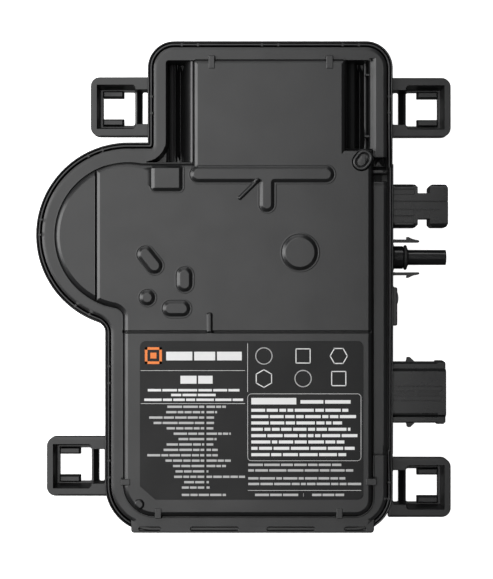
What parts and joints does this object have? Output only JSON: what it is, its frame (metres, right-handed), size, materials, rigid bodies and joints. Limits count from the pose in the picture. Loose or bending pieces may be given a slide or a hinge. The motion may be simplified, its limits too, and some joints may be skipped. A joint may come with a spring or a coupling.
{
  "type": "micro inverter",
  "caption": "Flat moulded micro inverter with a round side bulge, clip ears, sprung DC plug arms, a DC socket, an AC port and a status light on one side.",
  "frame": {"origin": "centre of the bounding box in plan, on the plane of the back face", "axes": "+Z out of the labelled cover, +Y to the edge opposite the foot strip, +X to the side with the electrical ports"},
  "size_m": [0.18, 0.212, 0.0302],
  "materials": {
    "case_plastic": "fine-grained moulded plastic",
    "port_plastic": "smooth moulded plastic",
    "black_rubber": "matt",
    "label_film": "satin film",
    "tinned_contact": "tin-plated",
    "lens_plastic": "translucent, smooth",
    "led_body": "smooth",
    "board_laminate": "solder mask",
    "plated_steel": "zinc-plated",
    "spreader_aluminium": "as rolled",
    "pad_silicone": "soft, matt",
    "cured_resin": "cast",
    "ferrite": "sintered, matt",
    "enamelled_copper": "enamelled",
    "capacitor_sleeve": "shrink sleeve",
    "film_capacitor_case": "moulded case",
    "chip_epoxy": "moulded epoxy",
    "fuse_ceramic": "glazed",
    "varistor_coating": "dipped",
    "bare_copper": "bright"
  },
  "bodies": {
    "case": {"rear_housing": "case_plastic", "front_cover": "case_plastic", "cover_seal": "black_rubber", "rating_label": "label_film", "dc_socket_shell": "port_plastic", "dc_pin_contact": "tinned_contact", "dc_probe_body": "port_plastic", "dc_socket_contact": "tinned_contact", "dc_probe_oring": "black_rubber", "ac_port_shroud": "port_plastic", "ac_contact_insert": "port_plastic", "ac_pins": "tinned_contact", "port_locknuts": "port_plastic", "status_lens": "lens_plastic", "status_led": "led_body", "circuit_board": "board_laminate", "board_screws": "plated_steel", "heat_spreader": "spreader_aluminium", "thermal_pad": "pad_silicone", "potting_compound": "cured_resin", "transformer_core_lower": "ferrite", "transformer_core_upper": "ferrite", "transformer_winding": "enamelled_copper", "choke_core": "ferrite", "choke_windings": "enamelled_copper", "input_capacitors": "capacitor_sleeve", "film_capacitors": "film_capacitor_case", "inductor_core": "ferrite", "inductor_winding": "enamelled_copper", "power_transistors": "chip_epoxy", "controller_chip": "chip_epoxy", "driver_chips": "chip_epoxy", "line_fuse": "fuse_ceramic", "surge_varistors": "varistor_coating", "dc_leads": "bare_copper", "ac_leads": "bare_copper"},
    "latch_upper": {"dc_latch_upper": "port_plastic"},
    "latch_lower": {"dc_latch_lower": "port_plastic"}
  },
  "joints": [
    {"name": "latch_upper_flex", "type": "hinge", "parent": "case", "child": "latch_upper", "pos_m": [0.0656, 0.02007, 0.0105], "axis": [0, 0, -1], "range_deg": [0, 6], "stiffness_Nm_per_rad": 0.4},
    {"name": "latch_lower_flex", "type": "hinge", "parent": "case", "child": "latch_lower", "pos_m": [0.0656, 0.00567, 0.0105], "axis": [0, 0, 1], "range_deg": [0, 6], "stiffness_Nm_per_rad": 0.4}
  ]
}
